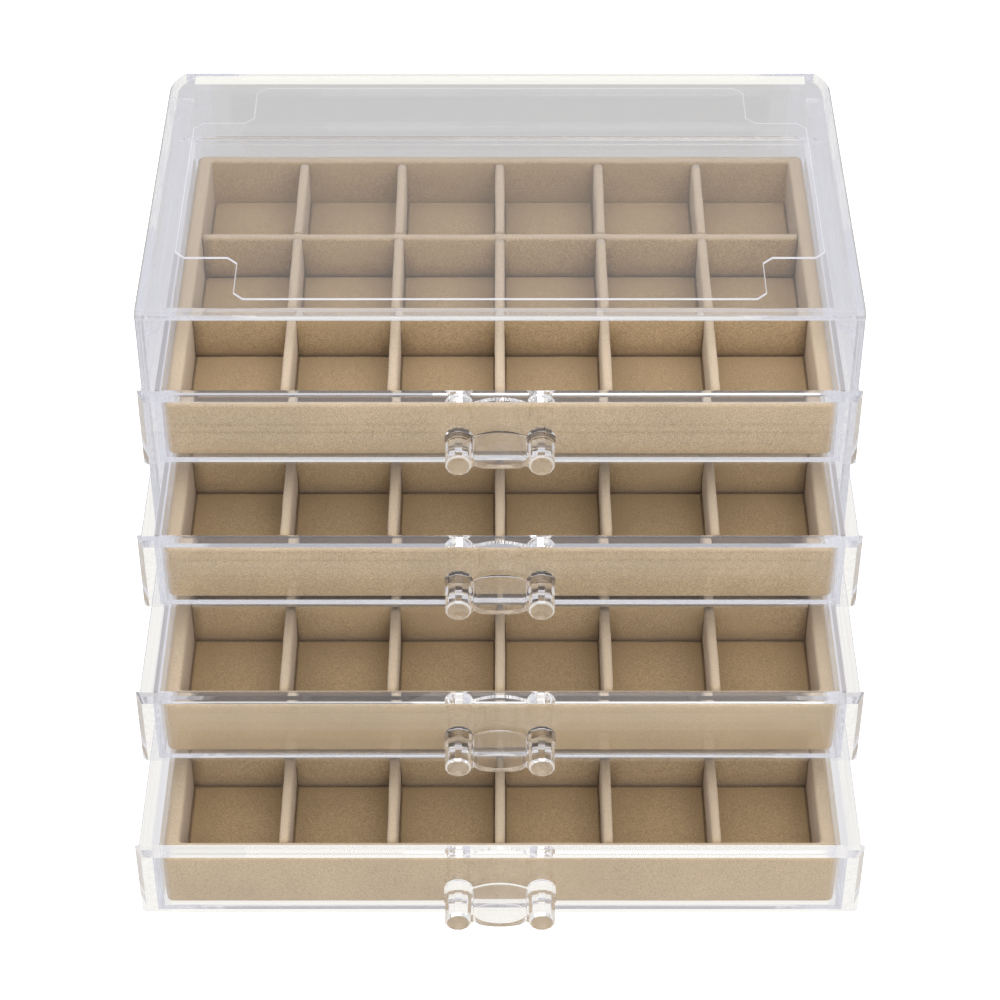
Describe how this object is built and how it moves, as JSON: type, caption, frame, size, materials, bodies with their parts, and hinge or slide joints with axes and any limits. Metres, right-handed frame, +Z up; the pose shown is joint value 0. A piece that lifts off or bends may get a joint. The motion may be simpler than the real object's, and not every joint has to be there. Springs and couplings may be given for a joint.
{
  "type": "jewellery organizer",
  "caption": "Clear plastic jewellery organizer: an open-fronted case with pull-out drawers on runners, each with a pair-of-posts handle and a velvet tray divided into cells.",
  "frame": {"origin": "middle of the footprint with the drawers pulled out as a staircase, on the surface that the feet stand on", "axes": "+X to the right, +Y to the back of the case, +Z up"},
  "size_m": [0.235, 0.293, 0.145],
  "materials": {
    "clear_case": "clear, polished",
    "clear_drawer": "clear, polished",
    "clear_handle": "clear, polished, faceted",
    "velvet": "short-pile beige velvet"
  },
  "bodies": {
    "case": {"case_shell": "clear_case", "base_panel": "clear_case", "left_rail_1": "clear_case", "right_rail_1": "clear_case", "left_rail_2": "clear_case", "left_guide_2": "clear_case", "right_rail_2": "clear_case", "right_guide_2": "clear_case", "left_rail_3": "clear_case", "left_guide_3": "clear_case", "right_rail_3": "clear_case", "right_guide_3": "clear_case", "left_rail_4": "clear_case", "left_guide_4": "clear_case", "right_rail_4": "clear_case", "right_guide_4": "clear_case"},
    "drawer_1": {"drawer_1_box": "clear_drawer", "drawer_1_handle": "clear_handle", "drawer_1_tray_rim": "velvet", "drawer_1_floor_pad": "velvet", "drawer_1_long_divider_1": "velvet", "drawer_1_long_divider_2": "velvet", "drawer_1_short_divider_1": "velvet", "drawer_1_short_divider_2": "velvet", "drawer_1_short_divider_3": "velvet", "drawer_1_short_divider_4": "velvet", "drawer_1_short_divider_5": "velvet"},
    "drawer_2": {"drawer_2_box": "clear_drawer", "drawer_2_handle": "clear_handle", "drawer_2_tray_rim": "velvet", "drawer_2_floor_pad": "velvet", "drawer_2_long_divider_1": "velvet", "drawer_2_long_divider_2": "velvet", "drawer_2_short_divider_1": "velvet", "drawer_2_short_divider_2": "velvet", "drawer_2_short_divider_3": "velvet", "drawer_2_short_divider_4": "velvet", "drawer_2_short_divider_5": "velvet"},
    "drawer_3": {"drawer_3_box": "clear_drawer", "drawer_3_handle": "clear_handle", "drawer_3_tray_rim": "velvet", "drawer_3_floor_pad": "velvet", "drawer_3_long_divider_1": "velvet", "drawer_3_long_divider_2": "velvet", "drawer_3_short_divider_1": "velvet", "drawer_3_short_divider_2": "velvet", "drawer_3_short_divider_3": "velvet", "drawer_3_short_divider_4": "velvet", "drawer_3_short_divider_5": "velvet"},
    "drawer_4": {"drawer_4_box": "clear_drawer", "drawer_4_handle": "clear_handle", "drawer_4_tray_rim": "velvet", "drawer_4_floor_pad": "velvet", "drawer_4_long_divider_1": "velvet", "drawer_4_long_divider_2": "velvet", "drawer_4_short_divider_1": "velvet", "drawer_4_short_divider_2": "velvet", "drawer_4_short_divider_3": "velvet", "drawer_4_short_divider_4": "velvet", "drawer_4_short_divider_5": "velvet"}
  },
  "joints": [
    {"name": "drawer_1_slide", "type": "slide", "parent": "case", "child": "drawer_1", "axis": [0, -1, 0], "range_m": [-0.0339, 0.0961]},
    {"name": "drawer_2_slide", "type": "slide", "parent": "case", "child": "drawer_2", "axis": [0, -1, 0], "range_m": [-0.0628, 0.0672]},
    {"name": "drawer_3_slide", "type": "slide", "parent": "case", "child": "drawer_3", "axis": [0, -1, 0], "range_m": [-0.0968, 0.0332]},
    {"name": "drawer_4_slide", "type": "slide", "parent": "case", "child": "drawer_4", "axis": [0, -1, 0], "range_m": [-0.1293, 0.0007]}
  ]
}
